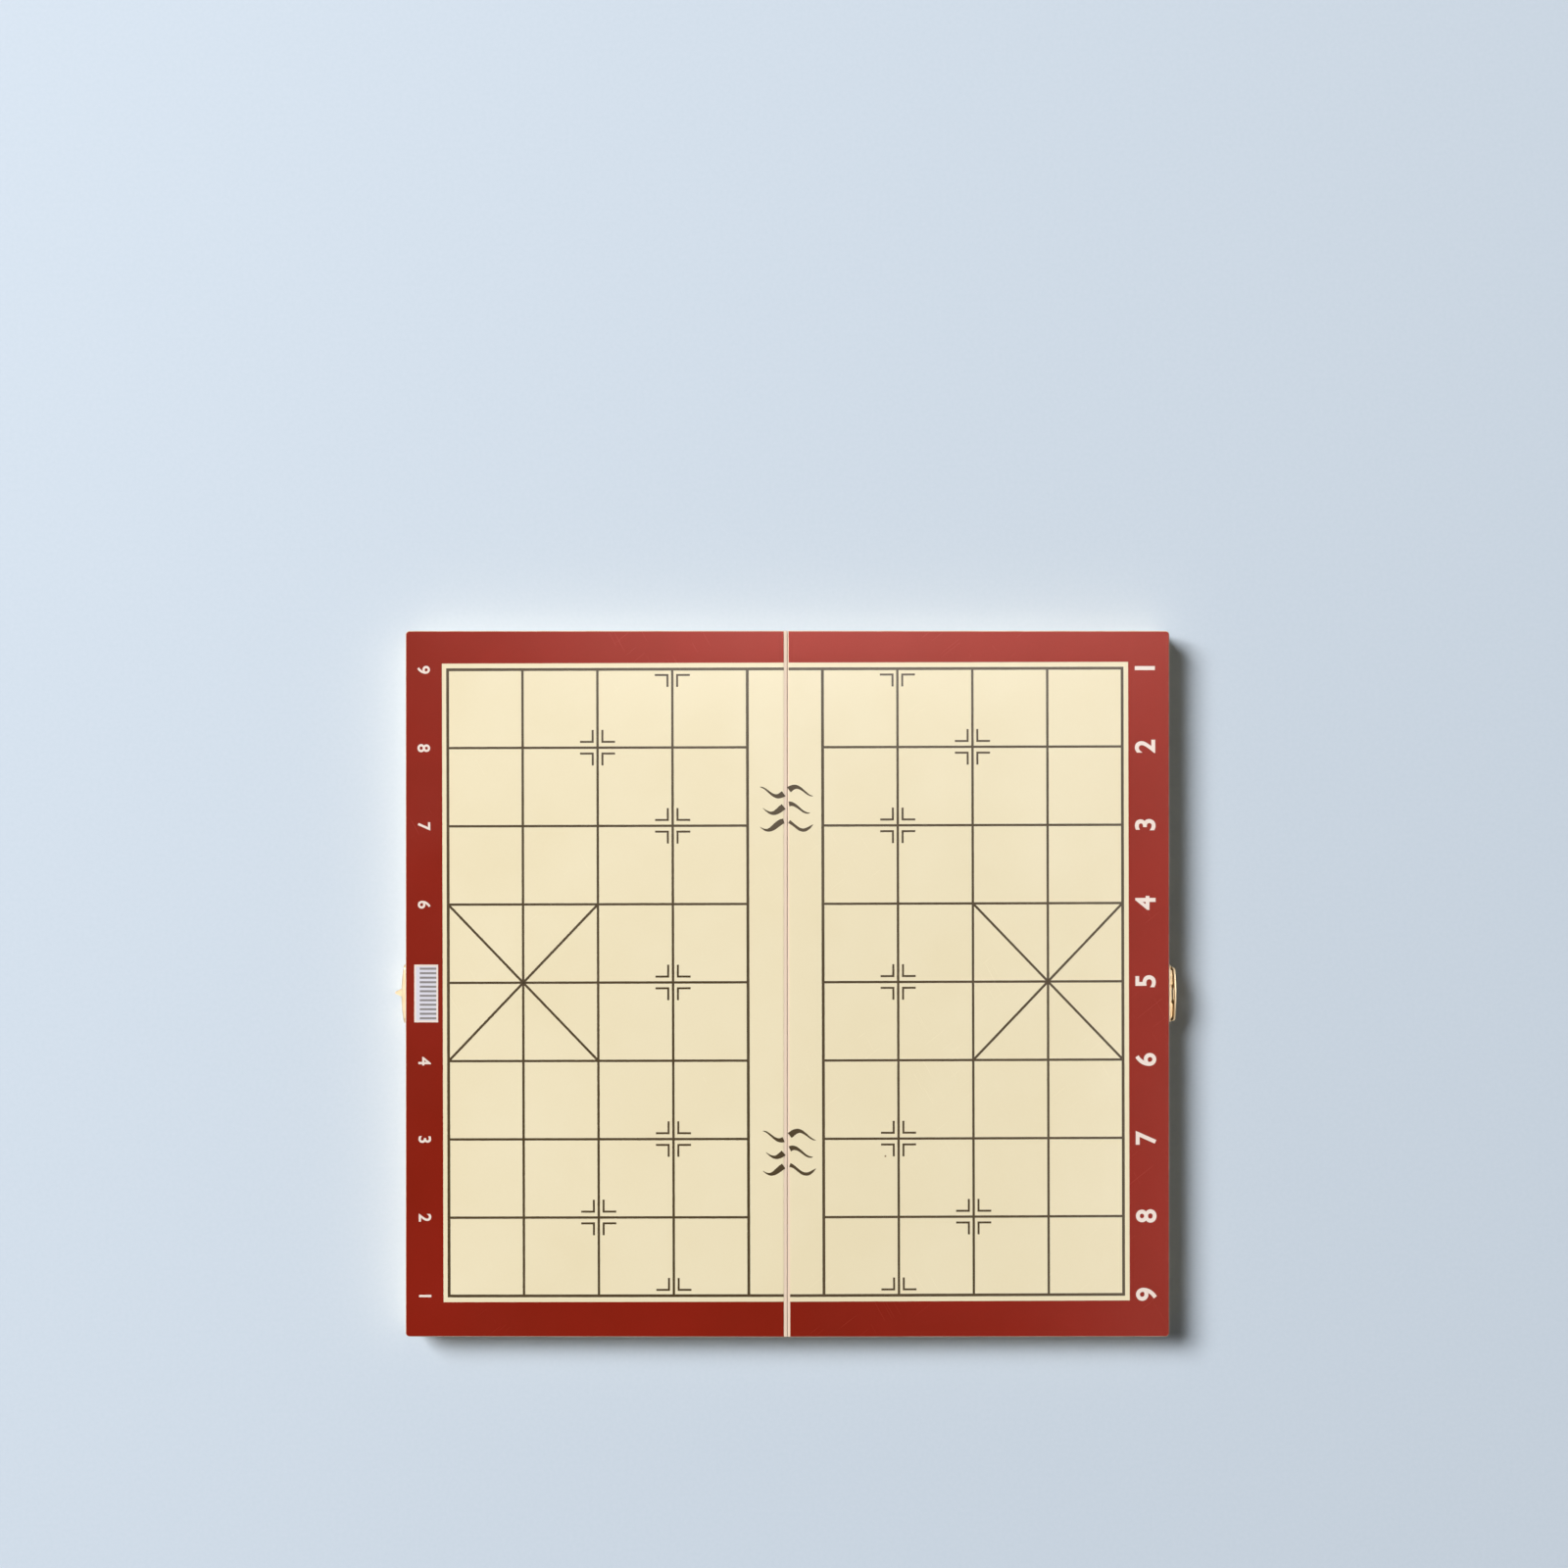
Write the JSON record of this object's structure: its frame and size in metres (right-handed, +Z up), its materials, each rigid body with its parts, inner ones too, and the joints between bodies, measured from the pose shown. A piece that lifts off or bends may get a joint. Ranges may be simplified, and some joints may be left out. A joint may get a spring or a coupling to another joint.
{
  "type": "folding xiangqi board box",
  "caption": "Xiangqi board in two hinged wooden trays with a printed laminated playing face, which folds shut into a storage box held by a brass-plated hasp.",
  "frame": {"origin": "on the table, under the middle of the unfolded board", "axes": "+X across the two trays to the one with the hasp, +Y along the hinges to the board's far edge, +Z up out of the playing face"},
  "size_m": [0.3907, 0.35, 0.0245],
  "materials": {
    "printed_film": "printed sheet laminated with clear gloss film, cream field and red-brown border",
    "panel_board": "pale thin plywood, raw edges bevelled and lightly worn",
    "rail_wood": "pale softwood under thin clear lacquer",
    "hinge_plating": "brass-plated steel strip, bright",
    "clasp_plating": "brass-plated, bright, lightly rubbed",
    "pin_steel": "drawn steel wire",
    "screw_plating": "brass-plated countersunk screw"
  },
  "bodies": {
    "left_half": {"left_panel": "panel_board", "left_print_film": "printed_film", "left_outer_rail": "rail_wood", "left_spine_rail": "rail_wood", "left_far_rail": "rail_wood", "left_near_rail": "rail_wood", "far_hinge_left_leaf": "hinge_plating", "near_hinge_left_leaf": "hinge_plating", "far_hinge_pin": "pin_steel", "near_hinge_pin": "pin_steel", "left_hinge_screws": "screw_plating", "keeper_plate": "clasp_plating", "keeper_screws": "screw_plating"},
    "right_half": {"right_panel": "panel_board", "right_print_film": "printed_film", "right_outer_rail": "rail_wood", "right_spine_rail": "rail_wood", "right_far_rail": "rail_wood", "right_near_rail": "rail_wood", "far_hinge_right_leaf": "hinge_plating", "near_hinge_right_leaf": "hinge_plating", "right_hinge_screws": "screw_plating", "hasp_plate": "clasp_plating", "hasp_pin": "pin_steel", "hasp_screws": "screw_plating"},
    "hasp": {"hasp_flap": "clasp_plating"}
  },
  "joints": [
    {"name": "board_fold", "type": "hinge", "parent": "left_half", "child": "right_half", "pos_m": [0, 0, 0.00125], "axis": [0, 1, 0], "range_deg": [-0.2, 179.2]},
    {"name": "hasp_swing", "type": "hinge", "parent": "right_half", "child": "hasp", "pos_m": [0.19272, -0.0055, 0.00392], "axis": [0, 1, 0], "range_deg": [0, 180]}
  ]
}
